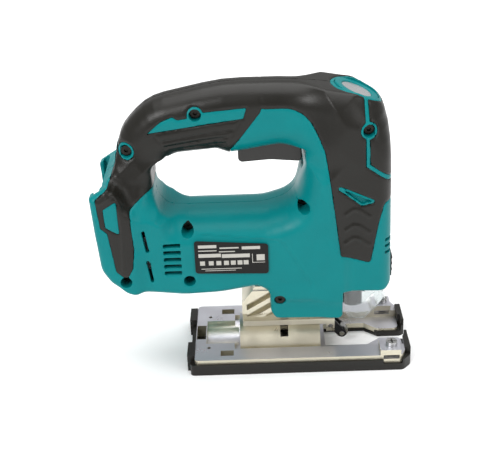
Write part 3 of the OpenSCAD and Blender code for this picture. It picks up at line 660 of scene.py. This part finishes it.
# %% [markdown]
# The rating plate is a printed foil. Its print is only plain bars and frames, laid on as thin
# raised fields, so the plate reads as a plate and says nothing.

# %% Print on the rating plate
def raised_fields(rows, y0, y1):
    """Thin boxes from rows of (x0, z0, x1, z1), all in one mesh: vertices and quads as arrays."""
    r = np.array(rows, float)
    xs, zs = r[:, [0, 2, 2, 0]], r[:, [1, 1, 3, 3]]
    v = np.stack([np.tile(xs, 2), np.repeat([[y0] * 4 + [y1] * 4], len(r), 0), np.tile(zs, 2)], -1)
    quads = np.array([[0, 1, 2, 3], [7, 6, 5, 4], [0, 4, 5, 1], [1, 5, 6, 2], [2, 6, 7, 3], [3, 7, 4, 0]])
    return v.reshape(-1, 3), (quads[None] + 8 * np.arange(len(r))[:, None, None]).reshape(-1, 4)


PLATE_Y, INK_T = -32.5, 0.06
label_ink = finish("screen_ink", "#b9b7b0", "#a6a49d", 0.5, grain=0.5, depth=0.05)
bars = [(-37, 95.6, -25, 97.8), (-23, 94.9, -10.5, 95.9), (-8.5, 94.0, 3.5, 96.2),
        (-37, 93.3, -25, 94.0), (-23.5, 92.4, -13, 93.1), (-37, 88.8, -22.3, 91.4),
        (-21.7, 88.2, -3.4, 90.9), (-1.9, 84.0, -1.5, 90.6), (-1.5, 84.0, 6.5, 84.4),
        (1.0, 85.6, 6.3, 90.0), (-35.5, 80.0, -9, 80.5), (-33, 78.7, -13, 79.1)]
bars += [(c - 1.6, 82.9, c + 1.6, 86.0) for c in (-34.6, -28.9, -23.9, -18.9, -14.4, -10.0, -6.0)]
print_piece = mesh_object("plate_print", *raised_fields(bars, PLATE_Y - INK_T, PLATE_Y), label_ink)
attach(print_piece, "tool_body")

# %% [markdown]
# The badge is two pieces: a ring moulded in the shell's nylon and a domed disc of brushed silver
# foil under lacquer. Both are profiles turned about the badge's leaning axis.

# %% Badge
def turned(profile, turns=72):
    """A closed profile of (radius, height) carried round the badge axis: vertices and quads."""
    p = np.array(profile, float)
    a = np.linspace(0, 2 * np.pi, turns, endpoint=False)[:, None]
    local = np.stack([p[:, 0] * np.cos(a), p[:, 0] * np.sin(a), np.tile(p[:, 1], (turns, 1))], -1)
    c, s_ = np.cos(lean), np.sin(lean)
    v = np.stack([local[..., 0] * c + local[..., 2] * s_ + badge_spot[0], local[..., 1],
                  local[..., 2] * c - local[..., 0] * s_ + badge_spot[1]], -1)
    i, j = np.meshgrid(np.arange(turns), np.arange(len(p)), indexing="ij")
    i2, j2 = (i + 1) % turns, (j + 1) % len(p)
    n = len(p)
    return v.reshape(-1, 3), np.stack([i * n + j, i2 * n + j, i2 * n + j2, i * n + j2], -1).reshape(-1, 4)


k = np.linspace(0, np.pi / 2, 6)
ring = [(10.4, 4.0)] + [(11.2 - 0.8 * np.cos(t), 6.6 + 0.8 * np.sin(t)) for t in k]
ring += [(14.0 + 1.0 * np.sin(t), 6.4 + 1.0 * np.cos(t)) for t in k] + [(15.0, 1.0), (12.5, 1.0), (12.5, 4.0)]
dome = [(0.02, 5.9), (0.02, 7.3)] + [(10.3 * np.sin(t), 6.6 + 0.7 * np.cos(t)) for t in k[1:]] + [(10.3, 5.9)]
for name, profile, material, slot_name in (("badge_ring", ring, teal_nylon, "teal_plastic"),
                                           ("badge_disc", dome, silver_badge, "bright_steel")):
    piece = mesh_object(name, *turned(profile), material)
    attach(piece, "tool_body")
    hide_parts("badge")

# %% [markdown]
# The other pieces are inside or behind something, and their CAD shapes are right as they are. Each
# only takes the finish of its own metal, resin or wire through its object's material slot.

# %% Finishes on the CAD nodes that stay
KEPT = {"gear_housing_cover": cast_alloy, "gear_housing_screws": screw_steel,
        "gear_spindle": bright_steel, "slide_guides": bronze, "rod_seal": felt,
        "stator_core": laminated, "stator_coils": copper, "motor_bearings": bright_steel,
        "controller": potting, "led_lens": clear_lens,
        "led_board": board, "lead_wires": wire_cover, "clamp_washer": bright_steel,
        "opener_pin": bright_steel, "orbit_shaft": bright_steel, "dust_cover": clear_cover,
        "slider": bright_steel, "balance_plate": black_steel, "crank_gear": black_steel,
        "crank_pins": bright_steel, "rotor_shaft": bright_steel, "rotor_magnets": laminated,
        "pinion": bright_steel, "cooling_fan": black_nylon}
for node, material in KEPT.items():
    slots = NODES[node].material_slots
    for s in slots:
        s.link = "OBJECT"
        s.material = material
    if not slots:
        NODES[node].data.materials.append(material)
print("finished", len(KEPT), "of the CAD nodes;", sorted(set(NODES) - set(KEPT) - set(EDGED)))

# %% [markdown]
# ## Floor and light
# A studio's white sweep with large soft boxes: one high and behind that runs a long
# highlight down the opening, one in front for the side, and a weak fill.

# %% Studio
def soft_box(name, place, target, size, power):
    """A square area light at a place, turned to face a target."""
    light = bpy.data.lights.new(name, "AREA")
    light.energy, light.size = power, size
    lamp = bpy.data.objects.new(name, light)
    back = np.array(place, float) - target
    back /= np.linalg.norm(back)
    across = np.cross([0.0, 0.0, 1.0], back)
    across /= np.linalg.norm(across)
    m = np.eye(4)
    m[:3, 0], m[:3, 1], m[:3, 2], m[:3, 3] = across, np.cross(back, across), back, place
    lamp.matrix_world = Matrix(m.tolist())
    bpy.context.scene.collection.objects.link(lamp)


soft_box("ceiling_light", (0.1, 0.3, 2.2), (0, 0, 0), 2.4, 52)
soft_box("front_light", (-1.1, -1.5, 1.5), (0, 0, 0.1), 0.8, 24)
soft_box("right_light", (1.3, -0.9, 0.8), (0, 0, 0.1), 0.8, 5)
world = bpy.data.worlds.new("studio")
bpy.context.scene.world = world
world.use_nodes = True
world.node_tree.nodes["Background"].inputs["Color"].default_value = (1, 1, 1, 1)
world.node_tree.nodes["Background"].inputs["Strength"].default_value = 0.5
bpy.context.scene.view_settings.view_transform = "Standard"

reach = 3.0
corners = np.array([[-reach, -reach, 0], [reach, -reach, 0], [reach, reach, 0], [-reach, reach, 0]]) / MM
floor = mesh_object("floor", corners, np.array([[0, 1, 2, 3]]),
                    finish("painted_floor", "#ffffff", "#fbfbfb", 0.7, grain=2.0, depth=0.02))
